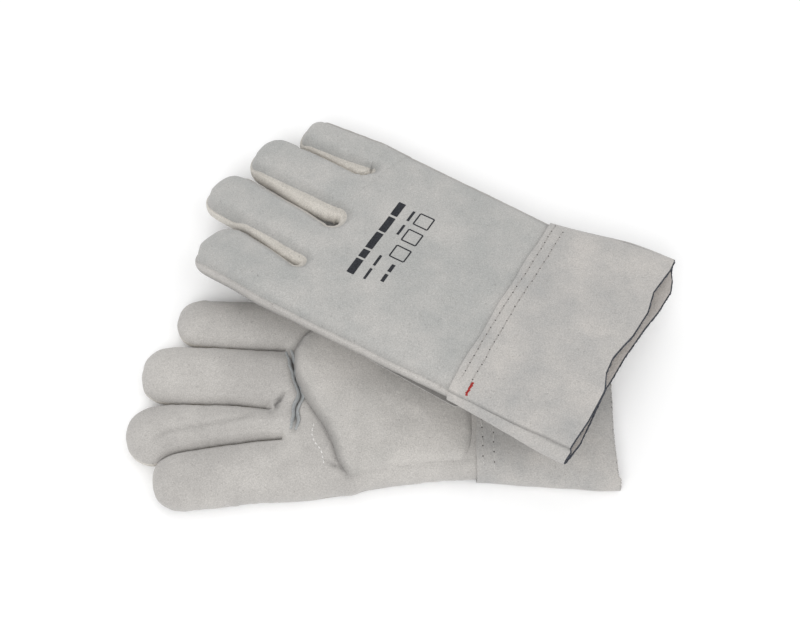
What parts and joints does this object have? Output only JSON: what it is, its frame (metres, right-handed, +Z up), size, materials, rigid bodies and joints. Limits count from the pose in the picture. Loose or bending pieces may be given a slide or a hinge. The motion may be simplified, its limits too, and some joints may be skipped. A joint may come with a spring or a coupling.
{
  "type": "welding gloves",
  "caption": "Leather welding gloves with flared stitched cuffs, lying in a loose pile palm up and back up, with hollow fingers that bend.",
  "frame": {"origin": "the middle of the pile's footprint, at table height", "axes": "+X from the fingertips towards the cuffs, along the lower glove; +Y from the index side of the lower glove to its little finger; +Z up"},
  "size_m": [0.3188, 0.2548, 0.0615],
  "materials": {
    "back_leather": "grey split cowhide, fine nap",
    "palm_leather": "grey split cowhide, soft nap",
    "strip_leather": "cream split cowhide, rough nap",
    "cuff_leather": "grey split cowhide, firm",
    "welt_leather": "thin split leather strip",
    "thread": "white sewing thread",
    "red_thread": "red sewing thread"
  },
  "bodies": {
    "left_hand": {"left_back_panel": "back_leather", "left_cuff_back": "cuff_leather", "left_cuff_back_thread": "thread", "left_cuff_palm": "cuff_leather", "left_cuff_palm_thread": "thread", "left_fourchette_index_middle": "strip_leather", "left_fourchette_middle_ring": "strip_leather", "left_fourchette_ring_little": "strip_leather", "left_middle_ring_front": "palm_leather", "left_palm_panel": "palm_leather", "left_side_welt": "welt_leather", "left_thumb_back": "palm_leather", "left_thumb_front": "palm_leather"},
    "right_hand": {"right_back_panel": "back_leather", "right_cuff_back": "cuff_leather", "right_cuff_back_thread": "thread", "right_cuff_palm": "cuff_leather", "right_cuff_palm_thread": "thread", "right_fourchette_index_middle": "strip_leather", "right_fourchette_middle_ring": "strip_leather", "right_fourchette_ring_little": "strip_leather", "right_middle_ring_front": "palm_leather", "right_palm_panel": "palm_leather", "right_red_bartack": "red_thread", "right_side_welt": "welt_leather", "right_thumb_back": "palm_leather", "right_thumb_front": "palm_leather"},
    "left_index_finger": {"left_index_back": "back_leather", "left_index_front": "palm_leather", "left_index_side_strip": "strip_leather"},
    "left_little_finger": {"left_little_back": "back_leather", "left_little_front": "palm_leather", "left_little_side_strip": "strip_leather"},
    "left_middle_finger": {"left_middle_back": "back_leather", "left_middle_front": "palm_leather", "left_middle_side_strip": "strip_leather"},
    "left_ring_finger": {"left_ring_back": "back_leather", "left_ring_front": "palm_leather", "left_ring_side_strip": "strip_leather"},
    "right_index_finger": {"right_index_back": "back_leather", "right_index_front": "palm_leather", "right_index_side_strip": "strip_leather"},
    "right_little_finger": {"right_little_back": "back_leather", "right_little_front": "palm_leather", "right_little_side_strip": "strip_leather"},
    "right_middle_finger": {"right_middle_back": "back_leather", "right_middle_front": "palm_leather", "right_middle_side_strip": "strip_leather"},
    "right_ring_finger": {"right_ring_back": "back_leather", "right_ring_front": "palm_leather", "right_ring_side_strip": "strip_leather"}
  },
  "joints": [
    {"name": "right_glove_lift", "type": "slide", "parent": "left_hand", "child": "right_hand", "axis": [0, 0, 1], "range_m": [0, 0.15]},
    {"name": "left_index_finger_curl", "type": "hinge", "parent": "left_hand", "child": "left_index_finger", "pos_m": [-0.07954, -0.1077, 0.016], "axis": [-0.0802, 0.9968, 0], "range_deg": [0, 75]},
    {"name": "left_middle_finger_curl", "type": "hinge", "parent": "left_hand", "child": "left_middle_finger", "pos_m": [-0.07954, -0.0752, 0.016], "axis": [-0.075, 0.9972, 0], "range_deg": [0, 75]},
    {"name": "left_ring_finger_curl", "type": "hinge", "parent": "left_hand", "child": "left_ring_finger", "pos_m": [-0.07954, -0.0432, 0.016], "axis": [0.014, 0.9999, 0], "range_deg": [0, 75]},
    {"name": "left_little_finger_curl", "type": "hinge", "parent": "left_hand", "child": "left_little_finger", "pos_m": [-0.10654, -0.0092, 0.016], "axis": [0, 1, 0], "range_deg": [0, 40]},
    {"name": "right_index_finger_lift", "type": "hinge", "parent": "right_hand", "child": "right_index_finger", "pos_m": [-0.0784, 0.00199, 0.04628], "axis": [0.635, 0.7554, -0.1617], "range_deg": [0, 40]},
    {"name": "right_middle_finger_lift", "type": "hinge", "parent": "right_hand", "child": "right_middle_finger", "pos_m": [-0.06022, 0.03357, 0.03987], "axis": [0.5937, 0.7874, -0.1657], "range_deg": [0, 40]},
    {"name": "right_ring_finger_lift", "type": "hinge", "parent": "right_hand", "child": "right_ring_finger", "pos_m": [-0.04154, 0.066, 0.03328], "axis": [0.5653, 0.8075, -0.1682], "range_deg": [0, 40]},
    {"name": "right_little_finger_lift", "type": "hinge", "parent": "right_hand", "child": "right_little_finger", "pos_m": [-0.02136, 0.09306, 0.02759], "axis": [0.5288, 0.8313, -0.171], "range_deg": [0, 40]}
  ]
}
